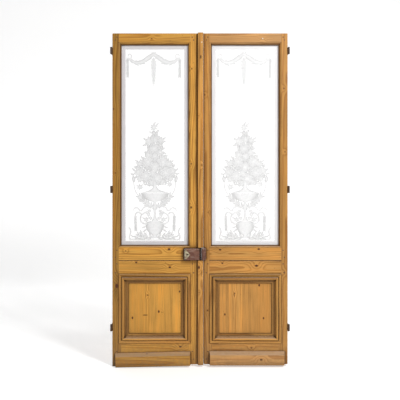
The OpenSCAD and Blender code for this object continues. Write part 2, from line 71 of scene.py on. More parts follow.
class Finish:
    """A material being mixed. make() is the one way in which a node is added."""

    def __init__(self, name):
        self.material = bpy.data.materials.new(name)
        self.material.use_nodes = True
        self.tree = self.material.node_tree
        self.shader = self.tree.nodes["Principled BSDF"]
        place = self.make("TexCoord", output="Object")
        self.point = place
        self.x, self.y, self.z = (self.make("SeparateXYZ", inputs={0: place}, output=i) for i in range(3))

    def feed(self, socket, value):
        if isinstance(value, Signal):
            self.tree.links.new(value.socket, socket)
        elif isinstance(value, tuple) and len(socket.default_value) == 4:
            socket.default_value = (*value[:3], 1.0)
        else:
            socket.default_value = value

    def make(self, kind, settings=None, inputs=None, output=0):
        node = self.tree.nodes.new("ShaderNode" + kind)
        for key, value in (settings or {}).items():
            setattr(node, key, value)
        for key, value in (inputs or {}).items():
            self.feed(node.inputs[key], value)
        return Signal(self, node.outputs[output])

    def maths(self, operation, a, b=0.0, clamp=False):
        return self.make("Math", {"operation": operation, "use_clamp": clamp}, {0: a, 1: b})

    def rise(self, value, low, high):
        """0 below low, 1 above high and smooth between."""
        return self.make("MapRange", {"interpolation_type": "SMOOTHSTEP"},
                         {"Value": value, "From Min": low, "From Max": high})

    def spot(self, distance, radius):
        """1 at no distance, 0 from radius on."""
        return 1 - self.rise(distance, 0.0, radius)

    def vector(self, x, y, z):
        return self.make("CombineXYZ", inputs={0: x, 1: y, 2: z})

    def noise(self, place, scale=1.0, detail=2.0, rough=0.5):
        return self.make("TexNoise", inputs={"Vector": place, "Scale": scale, "Detail": detail,
                                             "Roughness": rough})

    def blend(self, share, a, b):
        return self.make("Mix", {"data_type": "RGBA"}, {0: share, 6: a, 7: b}, output=2)

    def brighten(self, colour, factor):
        """The colour times a varying number."""
        return self.make("VectorMath", {"operation": "SCALE"}, {0: colour, "Scale": factor})

    def away(self, x, z, stretch_x=1.0, stretch_z=1.0):
        """Distance from a place on the front, in metres."""
        dx = (self.x - x) * (1 / stretch_x)
        dz = (self.z - z) * (1 / stretch_z)
        return self.maths("SQRT", dx * dx + dz * dz)

    def crevice(self, reach):
        """1 deep in a corner, 0 on open ground."""
        return 1 - self.make("AmbientOcclusion", {"samples": 6}, {"Distance": reach}, output="AO")

    def arris(self, radius):
        """(how near an edge a point is, the normal rounded over that edge)"""
        rounded = self.make("Bevel", {"samples": 6}, {"Radius": radius})
        normal = self.make("NewGeometry", output="Normal")
        same = self.make("VectorMath", {"operation": "DOT_PRODUCT"}, {0: rounded, 1: normal}, output="Value")
        return self.rise(1 - same, 0.02, 0.2), rounded

    def close(self, colour, roughness, height=None, depth=0.001, strength=0.4, rounded=None, **fixed):
        self.feed(self.shader.inputs["Base Color"], colour)
        self.feed(self.shader.inputs["Roughness"], roughness)
        if height is not None:
            bump = {"Height": height, "Distance": depth, "Strength": strength}
            if rounded is not None:
                bump["Normal"] = rounded
            self.feed(self.shader.inputs["Normal"], self.make("Bump", inputs=bump))
        for key, value in fixed.items():
            self.shader.inputs[key.replace("_", " ").title()].default_value = value
        return self.material


def wear(names, material):
    """Gives the CAD nodes a finish."""
    for name in names if isinstance(names, (list, tuple)) else [names]:
        node = nodes[name]
        node.data.materials.clear()
        node.data.materials.append(material)


# Linear colours of the wood: the left leaf is deeper gold and the right leaf paler, and the palest
# wood is the right top rail's and kickboard's
LEFT_WOOD = {"early": (0.610, 0.315, 0.060), "late": (0.310, 0.122, 0.018), "amber": (0.430, 0.180, 0.024)}
RIGHT_WOOD = {"early": (0.535, 0.268, 0.067), "late": (0.300, 0.120, 0.023), "amber": (0.400, 0.170, 0.032)}
PALE_WOOD = {"early": (0.545, 0.295, 0.105), "late": (0.310, 0.135, 0.040), "amber": (0.410, 0.190, 0.055)}
DUSTY_LEDGE = (0.560, 0.410, 0.285)
# Near black for cracks and specks, and for grime with painted shade in narrow corners and the latch gap
GRIME_AND_SHADE = (0.045, 0.020, 0.007)
# Brown for grime and painted shade in wide corners
BROWN_DIRT_AND_SHADE = (0.180, 0.074, 0.014)
# Dark brown for painted shade where the wood falls back behind the face
PAINTED_RECESS_SHADE = (0.085, 0.035, 0.008)
# Pale for arrises rubbed by wear and brightened by a painted highlight
WORN_EDGE_AND_HIGHLIGHT = (0.47, 0.29, 0.16)
OLD_PAINT = (0.72, 0.66, 0.54)
KNOT = (0.085, 0.028, 0.010)
SCUFFED = (0.21, 0.135, 0.062)
RING = 0.0052  # width of a year's growth
WAX_SHINE = 0.22  # old wax throws back little light


def pine(name, along, wood, seed, knots=(), seams=(), slits=(), tone=1.0, foot=0.0, wax=0.46, soil_and_shade=1.0,
         recess_shade=0.0, drips=()):
    """Waxed old pine. along is the grain's axis, knots are (x, z, radius), and seams are the glued joints
    between boards, across x. slits are (x, z, half length across, half length up) for cracks, scratches
    and a painted shadow. foot is the height up to which the bottom is scuffed and grey, soil_and_shade is
    how strongly grime and painted shade darken the corners, and recess_shade is how much painted shade
    darkens the wood where it falls back behind the face. drips are (x, z, radius) for drops of old paint."""
    f = Finish(name)
    draw = random.Random(seed)
    run, across = (f.x, f.z) if along == "x" else (f.z, f.x)
    board = 0.0
    for seam in seams:
        board = f.rise(f.x, seam - 0.0002, seam + 0.0002) + board
    shift = board * 0.173 + draw.uniform(3, 30)
    across_here = across + board * 0.061
    if along == "x":
        middle = sum(corner.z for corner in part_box(name)) / 2
    else:
        middle = sum(corner.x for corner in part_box(name)) / 2
    pith_across = middle + draw.uniform(-0.03, 0.03)
    pith_depth = draw.uniform(0.045, 0.09)
    swirl = 0.0
    dark = 0.0
    for kx, kz, radius in knots:
        dist = f.away(kx, kz, *((1.5, 1.0) if along == "x" else (1.0, 1.5)))
        swirl = f.maths("EXPONENT", dist * dist * (-1 / (2.6 * radius) ** 2)) * (radius * 1.3) + swirl
        dark = f.maths("MAXIMUM", f.spot(dist, radius), dark)
    slow = f.noise(f.vector(across_here * 3.0 + shift, f.y * 3.0, run * 0.9), detail=2.0)
    quick = f.noise(f.vector(across_here * 16 + shift, f.y * 16, run * 2.4), detail=2.0)
    da = across_here + (slow - 0.5) * 0.085 - pith_across
    dd = f.y - pith_depth
    radius = f.maths("SQRT", da * da + dd * dd) + (quick - 0.5) * 0.006 + run * 0.006 + swirl
    phase = f.maths("FRACT", radius * (1 / RING) + board * 0.4)
    late = f.rise(phase, 0.35, 0.92) * (1 - f.rise(phase, 0.93, 1.0))
    fibre = f.noise(f.vector(across_here * 420 + shift, f.y * 420, run * 9), detail=1.0)
    streak = f.noise(f.vector(across_here * 55 + shift, f.y * 30, run * 1.3), detail=3.0, rough=0.6)
    patch = f.noise(f.vector(across_here * 6 + shift, f.y * 6, run * 3.4), detail=3.0)

    colour = f.blend(late * 0.78, wood["early"], wood["late"])
    colour = f.blend(f.rise(streak, 0.44, 0.74) * 0.55, colour, wood["amber"])
    colour = f.blend(f.rise(patch, 0.45, 0.75) * 0.4, colour, wood["amber"])
    pore = f.rise(f.noise(f.vector(across_here * 240 + shift, f.y * 240, run * 5), detail=1.0), 0.58, 0.74)
    light = (streak * 1.15 + patch * 0.90 + fibre * 0.55 - pore * 0.22 - 0.21) * tone
    if seams:
        light = light * (f.make("TexWhiteNoise", {"noise_dimensions": "1D"},
                                {"W": board + seed}) * 0.24 + 0.88)
    colour = f.brighten(colour, light)

    # Knots: a near-black heart in a reddish ring
    if knots:
        colour = f.blend(f.rise(dark, 0.02, 0.4) * 0.75, colour, wood["late"])
        colour = f.blend(f.rise(dark, 0.22, 0.52), colour, KNOT)
    for seam in seams:
        line = f.spot(f.maths("ABSOLUTE", f.x - seam), 0.0014)
        colour = f.blend(line * 0.55, colour, wood["late"])
    for sx, sz, half_x, half_z in slits:
        wobble = (quick - 0.5) * 0.004
        line = f.spot(f.maths("ABSOLUTE", f.x - sx + (wobble if half_z > half_x else 0.0)), half_x)
        line = line * f.spot(f.maths("ABSOLUTE", f.z - sz + (wobble if half_x > half_z else 0.0)), half_z)
        colour = f.blend(f.rise(line, 0.02, 0.3) * 0.85, colour, GRIME_AND_SHADE)

    # Dirt, old wax and painted shade in the corners, a little old paint caught there, and arrises rubbed pale
    # under a painted highlight
    mottle = f.noise(f.point, 55.0, 3.0, 0.6)
    edge, rounded = f.arris(0.0022)
    # Arrises paler: rubbing wear and a painted highlight
    colour = f.blend(edge * f.rise(mottle, 0.34, 0.58) * (0.8 / soil_and_shade), colour, WORN_EDGE_AND_HIGHLIGHT)
    narrow = f.crevice(0.012)
    wide = f.crevice(0.050)
    shade_blotch = f.noise(f.point, 17.0, 3.0, 0.6)
    corner_grime_and_shade = f.rise(narrow * (mottle * 1.0 + 0.6), 0.10, 0.36 / soil_and_shade)
    # Painted shade darkens the wood where it falls back behind the face
    if recess_shade:
        behind_face_shade = f.rise(f.y, -0.0048, 0.004) * (1 - f.rise(f.y, 0.016, 0.020))
        colour = f.blend(behind_face_shade * recess_shade * (shade_blotch * 0.6 + 0.6), colour, PAINTED_RECESS_SHADE)
    # Grime and painted shade: brown in wide corners, near black in narrow ones
    colour = f.blend(f.rise(wide * (shade_blotch + 0.5), 0.05, 0.42) * (0.72 / soil_and_shade), colour, BROWN_DIRT_AND_SHADE)
    colour = f.blend(corner_grime_and_shade * 0.92, colour, GRIME_AND_SHADE)
    upward = f.make("SeparateXYZ", inputs={0: f.make("NewGeometry", output="Normal")}, output=2)
    colour = f.blend(f.rise(upward, 0.15, 0.70) * (1 - corner_grime_and_shade) * (mottle * 0.6 + 0.20), colour, DUSTY_LEDGE)
    fleck = f.rise(f.noise(f.point, 130.0, 2.0), 0.69, 0.74) * f.rise(narrow, 0.15, 0.4) * (1 - corner_grime_and_shade)
    colour = f.blend(fleck * 0.8, colour, OLD_PAINT)
    for px, pz, size in drips:
        colour = f.blend(f.rise(f.spot(f.away(px, pz), size), 0.1, 0.5), colour, OLD_PAINT)
    # Small dents and fly specks
    speck = f.rise(f.noise(f.vector(across * 150, f.y * 150, run * 90), 1.0, 0.0), 0.80, 0.84)
    colour = f.blend(speck * 0.5, colour, GRIME_AND_SHADE)
    if foot:
        scuff = (1 - f.rise(f.z, 0.02, foot)) * f.rise(mottle * 0.5 + patch * 0.5, 0.36, 0.62)
        colour = f.blend(scuff * 0.5, colour, SCUFFED)
    rough = f.maths("ADD", streak * 0.16 + mottle * 0.14 + corner_grime_and_shade * 0.25, wax - 0.12, clamp=True)
    height = late * -0.35 + fibre * 0.35 + mottle * 0.30 - dark * 0.4
    f.shader.inputs["Specular IOR Level"].default_value = WAX_SHINE
    return f.close(colour, rough, height, 0.0006, 0.5, rounded, coat_weight=0.04, coat_roughness=0.35)


WOOD = {"left": LEFT_WOOD, "right": RIGHT_WOOD}
# Grain, tone and knots of each stick
STICKS = {
    "left_hinge_stile": ("z", 0.58, [(-0.573, 1.704, 0.006), (-0.551, 0.532, 0.017), (-0.560, 1.28, 0.005)]),
    "left_meeting_stile": ("z", 1.06, [(-0.054, 1.970, 0.006), (-0.058, 1.341, 0.006), (-0.058, 1.052, 0.008),
                                       (-0.0675, 0.503, 0.008), (-0.066, 0.213, 0.009)]),
    "left_top_rail": ("x", 0.88, [(-0.32, 2.17, 0.005)]),
    "left_upper_mid_rail": ("x", 1.0, [(-0.492, 0.764, 0.005), (-0.205, 0.775, 0.010)]),
    "left_lower_mid_rail": ("x", 0.97, [(-0.422, 0.687, 0.008), (-0.20, 0.655, 0.009)]),
    "left_bottom_rail": ("x", 0.92, [(-0.13, 0.130, 0.009)]),
    "right_hinge_stile": ("z", 0.80, [(0.556, 1.840, 0.006), (0.563, 1.42, 0.005), (0.556, 0.62, 0.006)]),
    "right_meeting_stile": ("z", 0.92, [(0.032, 1.797, 0.006), (0.054, 1.02, 0.005), (0.049, 0.37, 0.007)]),
    "right_top_rail": ("x", 0.88, [(0.413, 2.168, 0.006)]),
    "right_upper_mid_rail": ("x", 1.0, [(0.133, 0.772, 0.009), (0.389, 0.776, 0.009)]),
    "right_lower_mid_rail": ("x", 0.96, [(0.148, 0.682, 0.007), (0.374, 0.666, 0.011)]),
    "right_bottom_rail": ("x", 0.98, [(0.34, 0.122, 0.006)]),
}
# Painted shadow: a black band on the stile in the gap between the latch and its keep, round the bolt
GAP_SHADOW = (0.0015, 0.7435, 0.0095, 0.043)
for seed, (name, (along, tone, knots)) in enumerate(STICKS.items()):
    side = name.split("_")[0]
    foot = 0.26 if "stile" in name or "bottom" in name else 0.0
    wood = PALE_WOOD if name == "right_top_rail" else WOOD[side]
    slits = [GAP_SHADOW] if name == "left_meeting_stile" else []
    drips = [(0.4150, 2.1700, 0.006)] if name == "right_top_rail" else []
    wear(name, pine(name, along, wood, seed, knots, slits=slits, tone=tone, foot=foot, recess_shade=0.75,
                    drips=drips))


# ---------------------------------------------------------------------------------------------
# Panels: narrow pine boards glued side by side with the grain upright. Each panel is held loose
# in the groove of its stiles and rails, so that it can swell and shrink.
# ---------------------------------------------------------------------------------------------
wear("left_panel", pine("left_panel", "z", LEFT_WOOD, 41,
                        [(-0.449, 0.318, 0.009), (-0.274, 0.360, 0.009), (-0.347, 0.469, 0.006),
                         (-0.136, 0.493, 0.007), (-0.252, 0.355, 0.004)],
                        seams=(-0.339, -0.183), slits=[(-0.364, 0.336, 0.022, 0.0045)], tone=1.04))
wear("right_panel", pine("right_panel", "z", RIGHT_WOOD, 57,
                         [(0.165, 0.341, 0.008), (0.422, 0.316, 0.008), (0.393, 0.535, 0.009),
                          (0.231, 0.481, 0.005)],
                         seams=(0.190, 0.279, 0.399), slits=[(0.228, 0.470, 0.003, 0.016)], tone=1.03))


# ---------------------------------------------------------------------------------------------
# Panel mouldings: four lengths a panel, run to one section, mitred and nailed over the joint
# between panel and frame. Their rounds are rubbed pale under a painted highlight, and their hollows
# hold dirt and painted shade.
# ---------------------------------------------------------------------------------------------
MOULDED_WOOD = {"early": (0.540, 0.275, 0.066), "late": (0.220, 0.084, 0.015), "amber": (0.330, 0.138, 0.023)}
for side in ("left", "right"):
    # The top length is toned darker as painted shade and the bottom one lighter as painted light from above
    for seed, (which, tone) in enumerate((("top", 0.74), ("bottom", 1.04), ("inner", 0.82), ("outer", 0.84))):
        along = "x" if which in ("top", "bottom") else "z"
        name = f"{side}_moulding_{which}"
        wear(name, pine(name, along, MOULDED_WOOD, 70 + seed + 9 * (side == "right"), tone=tone, wax=0.42,
                        soil_and_shade=2.2, recess_shade=0.45))


# ---------------------------------------------------------------------------------------------
# Kickboards: thick pine weather boards nailed across the foot of each leaf. They took the rain
# and the boots, so they are kicked, cracked and greyer at the bottom.
# ---------------------------------------------------------------------------------------------
wear("left_kickboard", pine("left_kickboard", "x", LEFT_WOOD, 101, [(-0.35, 0.087, 0.006)],
                            slits=[(-0.36, 0.022, 0.190, 0.0022)], tone=0.80, foot=0.12))
wear("right_kickboard", pine("right_kickboard", "x", PALE_WOOD, 103, [(0.402, 0.052, 0.010)],
                             slits=[(0.20, 0.030, 0.06, 0.0016)], tone=0.97, foot=0.10))


# ---------------------------------------------------------------------------------------------
# Meeting strip: one square strip with rounded corners, fixed to the left leaf to cover the gap.
# It was sawn through to make room for the latch.
# ---------------------------------------------------------------------------------------------
wear("meeting_strip_upper", pine("meeting_strip_upper", "z", RIGHT_WOOD, 121,
                                 [(-0.008, 1.656, 0.004), (0.0126, 1.331, 0.005)],
                                 slits=[(0.006, 2.043, 0.006, 0.016)], drips=[(0.0119, 2.140, 0.0055)]))
wear("meeting_strip_lower", pine("meeting_strip_lower", "z", RIGHT_WOOD, 127,
                                 [(-0.006, 0.492, 0.005), (-0.0066, 0.657, 0.010)],
                                 slits=[(0.008, 0.62, 0.003, 0.03)], foot=0.24))


# ---------------------------------------------------------------------------------------------
# Joint pegs: cleft pine, two driven through each tenon and trimmed flush. Their end grain has
# drunk in the wax and dirt.
# ---------------------------------------------------------------------------------------------
def end_grain(name):
    f = Finish(name)
    mottle = f.noise(f.point, 420.0, 2.0, 0.6)
    colour = f.blend(f.rise(mottle, 0.35, 0.65), (0.055, 0.024, 0.009), (0.150, 0.070, 0.024))
    return f.close(colour, mottle * 0.2 + 0.55, mottle, 0.0004, 0.5)


wear(["left_joint_pegs", "right_joint_pegs"], end_grain("peg_end_grain"))


# ---------------------------------------------------------------------------------------------
# Glass: one sheet a leaf, etched with acid to a frosted border round a milky field. It lies in
# the rebate and is held there by the glazing beads.
# ---------------------------------------------------------------------------------------------
def etched_pane(name, border, hue):
    f = Finish(name)
    low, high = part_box(name)
    sight = 0.008  # how much of the pane's edge is behind the wood
    from_side = (high.x - low.x) / 2 - sight - f.maths("ABSOLUTE", f.x - (low.x + high.x) / 2)
    from_end = (high.z - low.z) / 2 - sight - f.maths("ABSOLUTE", f.z - (low.z + high.z) / 2)
    inward = f.maths("MINIMUM", from_side, from_end)
    band = 1 - f.rise(inward, border - 0.0015, border)
    line = f.spot(f.maths("ABSOLUTE", inward - 0.0085), 0.0022)
    cloud = f.noise(f.point, 9.0, 3.0)
    grain = f.noise(f.point, 900.0, 1.0)
    colour = f.blend(band, (0.93, 0.935, 0.94), hue)
    colour = f.blend(line * 0.5, colour, (0.90, 0.90, 0.90))
    colour = f.brighten(colour, cloud * 0.10 + 0.95)
    f.feed(f.shader.inputs["Alpha"], f.maths("ADD", band * 0.68, cloud * 0.04 + 0.05, clamp=True))
    return f.close(colour, grain * 0.10 + band * 0.25 + 0.22, cloud, 0.0001, 0.1)


wear("left_glass", etched_pane("left_glass", 0.0265, (0.67, 0.64, 0.65)))
wear("right_glass", etched_pane("right_glass", 0.0265, (0.80, 0.785, 0.79)))


# ---------------------------------------------------------------------------------------------
# Etching: the pattern bitten into each pane with acid, swags over an urn of flowers, as a skin
# well under a millimetre thick on the glass. Leaves, roses and ribbons are each modelled once.
# ---------------------------------------------------------------------------------------------
MM = 0.001
RELIEF = 0.7 * MM
FACE_ON = (math.pi / 2, 0.0, 0.0)
etch_random = random.Random(2024)


def picked(bm, test):
    """Selects the vertices that pass a test, and what lies between them."""
    for vert in bm.verts:
        vert.select = test(vert.co)
    bm.select_flush_mode()
    bmesh.update_edit_mesh(bpy.context.object.data)


def shape_disc(name, corners, narrow):
    """A thin disc of radius 1, standing upright, with its front edge drawn in."""
    bpy.ops.object.select_all(action="DESELECT")
    bpy.ops.mesh.primitive_circle_add(vertices=corners, radius=1.0, fill_type="NGON", rotation=FACE_ON)
    bpy.ops.object.transform_apply()
    piece = bpy.context.object
    piece.name = name
    bpy.ops.object.mode_set(mode="EDIT")
    bpy.ops.mesh.select_all(action="SELECT")
    bpy.ops.transform.resize(value=(narrow, 1, 1))
    return piece


def etched_leaf():
    leaf = shape_disc("etched_leaf", 10, 0.42)
    bm = bmesh.from_edit_mesh(leaf.data)
    picked(bm, lambda co: abs(co.x) < 0.01 and co.z > 0.9)
    bpy.ops.transform.translate(value=(0, 0, 0.45))
    bpy.ops.mesh.select_all(action="SELECT")
    bpy.ops.mesh.extrude_region_move(TRANSFORM_OT_translate={"value": (0, -0.35 * RELIEF, 0)})
    bpy.ops.mesh.inset(thickness=0.16, depth=0)
    bpy.ops.mesh.poke()
    bm = bmesh.from_edit_mesh(leaf.data)
    picked(bm, lambda co: abs(co.x) < 0.05 and abs(co.z) < 0.3 and co.y < 0)
    bpy.ops.transform.translate(value=(0, -0.65 * RELIEF, 0))
    bpy.ops.mesh.select_all(action="SELECT")
    bpy.ops.mesh.normals_make_consistent(inside=False)
    bpy.ops.object.mode_set(mode="OBJECT")
    return leaf


def etched_rose():
    petals, steps = 6, 4
    rose = shape_disc("etched_rose", petals * steps, 1.0)
    bm = bmesh.from_edit_mesh(rose.data)
    bm.verts.ensure_lookup_table()
    for vert in bm.verts:
        vert.select = round(math.degrees(math.atan2(vert.co.z, vert.co.x)) / 15) % steps == 0
    bm.select_flush_mode()
    bpy.ops.transform.resize(value=(0.72, 1, 0.72), center_override=(0, 0, 0))
    bpy.ops.mesh.select_all(action="SELECT")
    bpy.ops.mesh.extrude_region_move(TRANSFORM_OT_translate={"value": (0, -0.2 * RELIEF, 0)})
    # Petals behind petals: each round stands up, dips and turns
    for shrink, rise_by, turn in ((0.80, 0.6, 0), (0.86, -0.5, 0.26), (0.80, 0.6, 0.26), (0.80, -0.5, 0.26),
                                  (0.62, 0.6, 0.26)):
        bpy.ops.mesh.extrude_region_move(TRANSFORM_OT_translate={"value": (0, -rise_by * RELIEF, 0)})
        bpy.ops.transform.resize(value=(shrink, 1, shrink), center_override=(0, 0, 0))
        bpy.ops.transform.rotate(value=turn, orient_axis="Y", center_override=(0, 0, 0))
    bpy.ops.mesh.select_all(action="SELECT")
    bpy.ops.mesh.normals_make_consistent(inside=False)
    bpy.ops.object.mode_set(mode="OBJECT")
    return rose


leaf_form, rose_form = etched_leaf(), etched_rose()
bitten = []


def stamp(form, u, v, size, angle=0.0, wide=1.0):
    """A copy of a form at (u, v) in millimetres from the foot of the pattern, turned from upright."""
    copy = form.copy()
    copy.data = form.data.copy()
    size_m = size * MM
    copy.data.transform(Matrix.Translation((u * MM, 0, v * MM)) @ Matrix.Rotation(angle, 4, "Y")
                        @ Matrix.Diagonal((size_m * wide, 1, size_m, 1)))
    bpy.context.collection.objects.link(copy)
    bitten.append(copy)


def ribbon(points, width, thin_ends=0.35):
    """A flattened strand through the points, in millimetres."""
    bpy.ops.object.select_all(action="DESELECT")
    bpy.ops.curve.primitive_bezier_curve_add()
    strand = bpy.context.object
    curve = strand.data
    spline = curve.splines[0]
    spline.bezier_points.add(len(points) - 2)
    for i, ((u, v), knot) in enumerate(zip(points, spline.bezier_points)):
        knot.co = (u * MM, 0, v * MM)
        knot.handle_left_type = knot.handle_right_type = "AUTO"
        knot.radius = thin_ends if i in (0, len(points) - 1) else 1.0
    curve.dimensions = "3D"
    curve.resolution_u = 5
    curve.bevel_depth = width / 2 * MM
    curve.bevel_resolution = 1
    curve.use_fill_caps = True
    bpy.ops.object.convert(target="MESH")
    flat = RELIEF / (width * MM)
    strand.data.transform(Matrix.Translation((0, -RELIEF / 2, 0)) @ Matrix.Diagonal((1, flat, 1, 1)))
    bitten.append(strand)


def turned(profile):
    """The outline of a turned thing from its half widths, swelling towards the middle."""
    bpy.ops.object.select_all(action="DESELECT")
    bpy.ops.mesh.primitive_grid_add(x_subdivisions=6, y_subdivisions=len(profile) - 1, size=2,
                                    rotation=FACE_ON)
    bpy.ops.object.transform_apply()
    urn = bpy.context.object
    rows = len(profile) - 1
    for vert in urn.data.vertices:
        row = round((1 - vert.co.z) / 2 * rows)
        half, v = profile[row]
        across = vert.co.x
        vert.co = (across * half * MM, -RELIEF * (1 - across * across), v * MM)
    solid = urn.modifiers.new("wall", "SOLIDIFY")
    solid.thickness = 0.2 * MM
    solid.offset = -1
    bpy.ops.object.modifier_apply(modifier="wall")
    bitten.append(urn)


def along_line(points, share):
    """(place, direction) at a share of the way along a bent line."""
    spans = [math.dist(a, b) for a, b in zip(points, points[1:])]
    rest = share * sum(spans)
    for a, b, span in zip(points, points[1:], spans):
        if rest <= span:
            break
        rest -= span
    s = min(1.0, rest / span)
    return a[0] + (b[0] - a[0]) * s, a[1] + (b[1] - a[1]) * s, math.atan2(b[0] - a[0], b[1] - a[1])


def foliage(points, count, size, spread=0.7, first=0.0, swell=0.0, berries=False):
    """Pairs of leaves along a line, larger towards its middle by swell."""
    for i in range(count):
        share = first + (1 - first) * i / max(1, count - 1)
        u, v, way = along_line(points, share)
        here = size * (1 - swell + swell * math.sin(math.pi * share)) * etch_random.uniform(0.85, 1.15)
        for hand in (-1, 1):
            turn = way + hand * spread
            stamp(leaf_form, u + math.sin(turn) * here, v + math.cos(turn) * here, here, turn)
        if berries:
            stamp(rose_form, u, v, here * 0.75)


def bouquet():
    roses = [(-8, 781, 17), (-42, 692, 21), (2, 700, 17), (41, 694, 14), (-8, 640, 23), (38, 616, 17),
             (-42, 600, 18),
             (3, 590, 20), (-46, 553, 30), (54, 553, 30), (0, 520, 27), (-103, 541, 17), (93, 541, 19),
             (-60, 457, 33), (70, 480, 32), (16, 440, 32), (-111, 484, 24), (118, 492, 22), (-14, 476, 20),
             (-99, 387, 16), (99, 402, 14), (-100, 434, 15), (104, 440, 16), (-22, 412, 16), (50, 418, 16)]
    for u, v, size in roses:
        count = 7
        start = etch_random.uniform(0, 2 * math.pi)
        for i in range(count):
            turn = start + 2 * math.pi * i / count + etch_random.uniform(-0.2, 0.2)
            long = size * etch_random.uniform(0.42, 0.62)
            reach = size * 0.92
            stamp(leaf_form, u + math.sin(turn) * reach, v + math.cos(turn) * reach, long, turn)
    # Small leaves fill the spaces, all pointing out from the heart of the bunch
    outline = [(404, 54), (436, 112), (470, 132), (505, 124), (545, 108), (572, 80), (600, 52), (650, 48),
               (694, 56),
               (720, 30), (766, 8)]
    for (low, narrow), (high, broad) in zip(outline, outline[1:]):
        rows = max(1, round((high - low) / 14))
        for row in range(rows):
            v = low + (high - low) * row / rows
            half = narrow + (broad - narrow) * row / rows
            count = max(2, round(half / 6))
            for i in range(count):
                u = -half + 2 * half * (i + etch_random.uniform(0.2, 0.8)) / count
                v_here = v + etch_random.uniform(-6, 6)
                turn = math.atan2(u, max(v_here - 430, 20)) + etch_random.uniform(-0.7, 0.7)
                stamp(leaf_form, u, v_here, etch_random.uniform(10, 15), turn, 1.1)
    for u, v, size in roses:
        stamp(rose_form, u, v, size, etch_random.uniform(0, 1))
    # Tips of leaves that stand out of the outline
    tips = [(-4, 806, 0.6), (14, 800, 0.9), (-26, 748, -1.2), (16, 752, 0.8), (-4, 742, 0), (-66, 704, -1.0),
            (62, 708, 1.0), (58, 688, 1.6), (-68, 664, -1.7), (-58, 618, -1.5), (56, 640, 1.0),
            (62, 612, 1.8),
            (-84, 578, -0.6), (76, 586, 0.5), (-122, 560, -1.1), (112, 556, 1.1), (-128, 520, -1.6),
            (124, 530, 1.4), (-150, 470, -1.2), (150, 474, 1.3), (-140, 500, -0.8), (142, 500, 0.9),
            (-134, 446, -1.9), (134, 450, 1.9), (-70, 408, 2.6), (74, 412, -2.7), (-40, 402, 3.0),
            (-2, 566, 0.2)]
    for u, v, turn in tips:
        stamp(leaf_form, u, v, 13, turn, 1.1)


def urn_and_stand():
    turned([(16, 412), (10, 402), (10, 392), (15, 380), (27, 368), (50, 358), (82, 351), (94, 348)])
    turned([(94, 345), (92, 338), (87, 328), (77, 315), (60, 302), (38, 294), (18, 290), (8, 284), (9, 274),
            (16, 264), (14, 248), (8, 236), (7, 212), (8, 190), (12, 172), (22, 160)])
    turned([(34, 158), (54, 150), (61, 142), (62, 130), (58, 110), (48, 92), (34, 76), (18, 68), (15, 58),
            (26, 50), (40, 44)])
    ribbon([(-60, 144), (0, 138), (60, 144)], 4, 0.8)
    for side in (-1, 1):
        stem = [(side * u, v) for u, v in
                ((140, 440), (138, 400), (131, 366), (112, 332), (71, 290), (22, 250), (2, 226))]
        ribbon(stem, 8)
        stamp(leaf_form, side * 141, 436, 22, side * 0.15, 1.2)
        foliage(stem[:2:-1], 7, 15, 0.62, first=0.2)
        foliage([(side * 4, 250), (side * 14, 290)], 2, 12)
        ribbon([(side * u, v) for u, v in
                ((148, 224), (134, 243), (116, 247), (99, 232), (88, 229), (74, 248), (42, 254),
                 (26, 240))], 10)
        ribbon([(side * u, v) for u, v in
                ((26, 226), (52, 220), (78, 206), (93, 186), (92, 160), (76, 144), (52, 138))], 12, 0.8)
        ribbon([(side * u, v) for u, v in ((84, 196), (96, 212), (113, 217), (127, 206), (130, 190))], 12,
               0.6)
        foliage([(side * 130, 198), (side * 127, 104)], 11, 8, 0.5)
        for u, v, size in ((42, 204, 14), (57, 168, 16), (28, 178, 12), (34, 226, 10)):
            stamp(rose_form, side * u, v, size)
            stamp(leaf_form, side * (u + size), v + size * 0.5, size * 0.7, side * 1.0)
        # Acanthus leaves round the foot
        for u, v, size, turn in ((72, 118, 13, 1.9), (66, 96, 14, 2.2), (84, 66, 22, 0.9), (58, 62, 20, 0.5),
                                 (104, 60, 20, 1.2), (126, 52, 16, 1.3), (30, 60, 18, 0.4), (92, 84, 14, 0.3),
                                 (112, 76, 12, 0.5), (44, 44, 20, 1.5), (80, 42, 20, 1.6),
                                 (116, 40, 18, 1.6)):
            stamp(leaf_form, side * u, v, size, side * turn)
        ribbon([(side * u, v) for u, v in ((150, 38), (166, 44), (166, 64), (159, 86), (165, 108),
                                           (176, 120))], 11)
        stamp(leaf_form, side * 150, 58, 11, side * 0.9)
    ribbon([(-168, 36), (-60, 33), (60, 33), (170, 36)], 6, 0.8)


def swags():
    middle = -8
    for side in (-1, 1):
        curl = []
        for i in range(12):
            turn = -2.6 + i * 0.56
            radius = 21 - i * 1.25
            curl.append((middle + side * (161 - math.cos(turn) * radius), 1258 + math.sin(turn) * radius))
        ribbon(curl, 8, 0.6)
        line = [(middle + side * u, v) for u,
                v in ((168, 1243), (140, 1222), (109, 1211), (74, 1219), (40, 1242),
                                                    (4, 1268))]
        ribbon(line, 6)
        foliage(line, 20, 13, 0.6, swell=0.5, berries=True)
        foliage([(middle + side * 175, 1240), (middle + side * 173, 1126)], 14, 8, 0.5)
    drop = [(middle, 1262), (middle, 1068)]
    for v, size in ((1232, 12), (1212, 16), (1188, 18), (1168, 14), (1146, 15), (1122, 14), (1100, 11),
                    (1082, 8)):
        for turn in (-2.2, -1.1, 1.1, 2.2, 3.1):
            stamp(leaf_form, middle + math.sin(turn) * size * 0.6, v + math.cos(turn) * size * 0.6,
                  size * 0.62, turn)
        stamp(rose_form, middle, v, size * 0.55)
    foliage(drop, 14, 6, 0.5)
    stamp(rose_form, middle, 1270, 14)
    for turn in (-1.5, -0.8, 0.8, 1.5):
        stamp(leaf_form, middle + math.sin(turn) * 13, 1270 + math.cos(turn) * 13, 8, turn)


